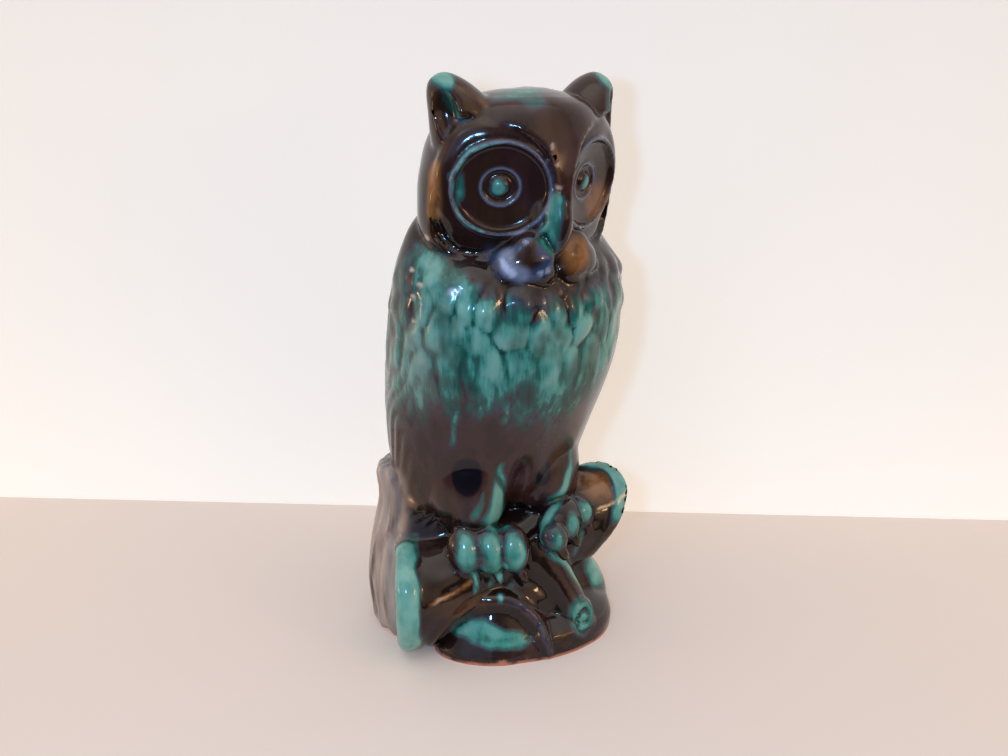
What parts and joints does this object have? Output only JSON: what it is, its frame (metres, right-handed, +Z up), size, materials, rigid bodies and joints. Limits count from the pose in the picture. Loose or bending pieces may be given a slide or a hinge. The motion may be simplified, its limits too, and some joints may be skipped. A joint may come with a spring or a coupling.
{
  "type": "pottery owl figurine",
  "caption": "Glazed pottery owl with large round eye discs, standing on a sloping log over a low rocky base, cast in one piece.",
  "frame": {"origin": "on the underside, straight below the owl's body, between its feet and its tail", "axes": "+Z up from the foot to the ear tips, -Y is where the owl looks, +X is the owl's left"},
  "size_m": [0.1177, 0.107, 0.25],
  "materials": {
    "glaze": "high-gloss black-brown glaze with teal and green drips, over red clay that shows at the foot"
  },
  "bodies": {
    "root": {"owl_figurine": "glaze"}
  },
  "joints": []
}
